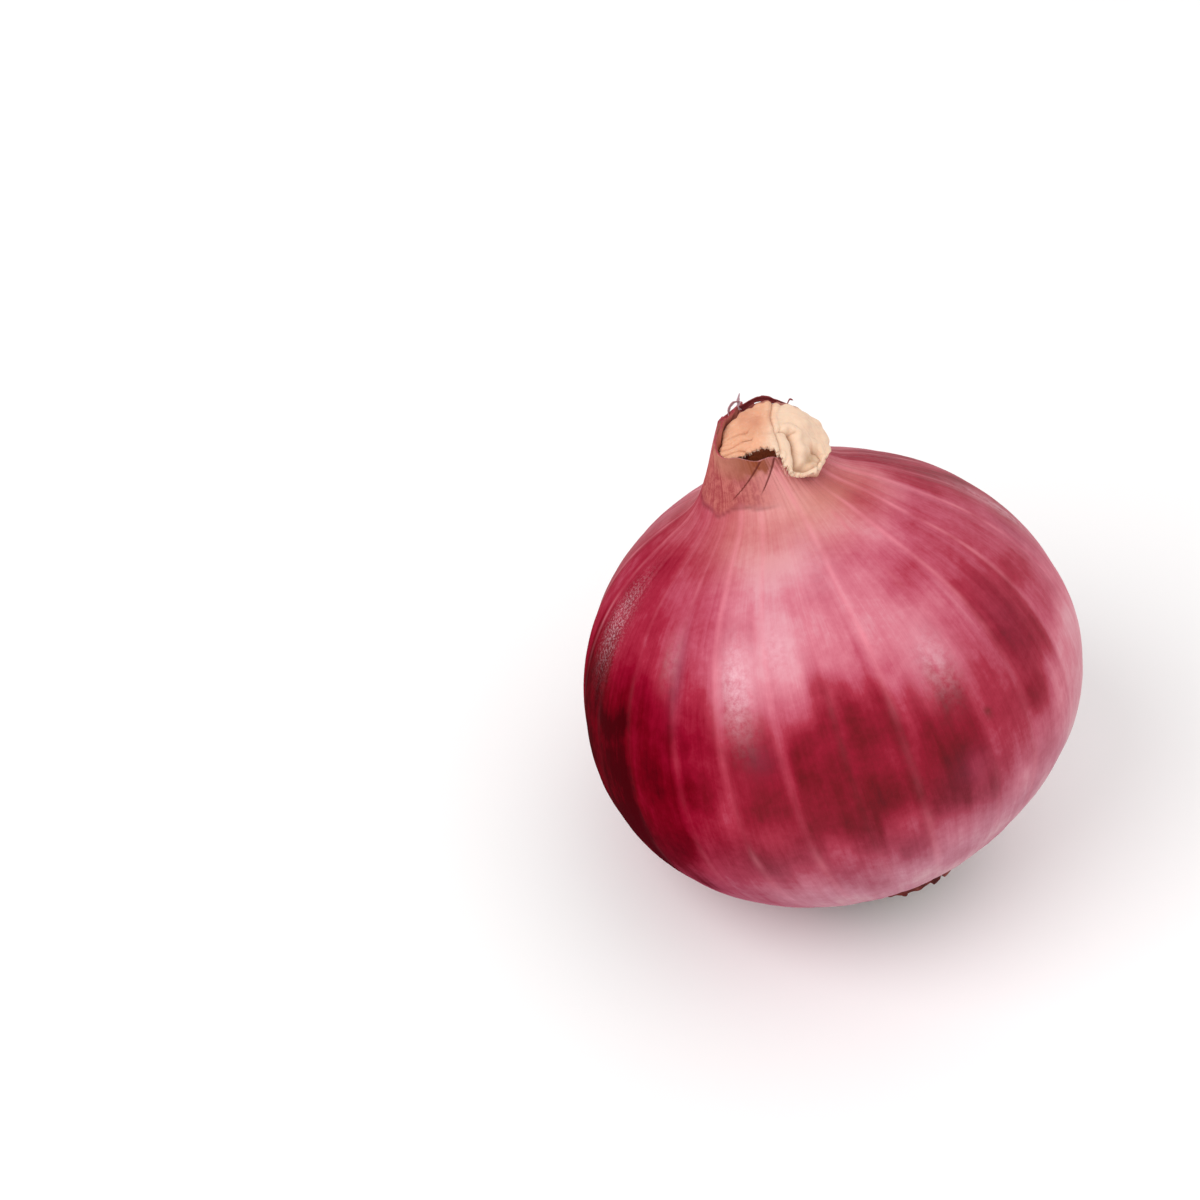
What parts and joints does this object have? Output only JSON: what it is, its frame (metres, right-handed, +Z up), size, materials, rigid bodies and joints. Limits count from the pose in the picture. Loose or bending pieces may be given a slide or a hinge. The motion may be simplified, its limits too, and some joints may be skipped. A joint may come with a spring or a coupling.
{
  "type": "red onion",
  "caption": "Whole dry red onion, leaning on a small flat spot, with a folded dry leaf at its torn neck and trimmed roots.",
  "frame": {"origin": "middle of the small flat spot that the onion rests on", "axes": "+Z up, square to the flat spot; -Y towards the side with the low neck rim; the onion's own axis leans 23.5 degrees from +Z"},
  "size_m": [0.0655, 0.0657, 0.0656],
  "materials": {
    "onion_skin": "smooth dry crimson skin with paler veins and a soft sheen",
    "dry_leaf": "matte crumpled papery tan and cream",
    "dry_roots": "matte dry tan roots",
    "torn_skin": "matte dark dry skin flakes"
  },
  "bodies": {
    "root": {"bulb": "onion_skin", "neck_leaf": "dry_leaf", "root_tuft": "dry_roots", "root_skin": "torn_skin"}
  },
  "joints": []
}
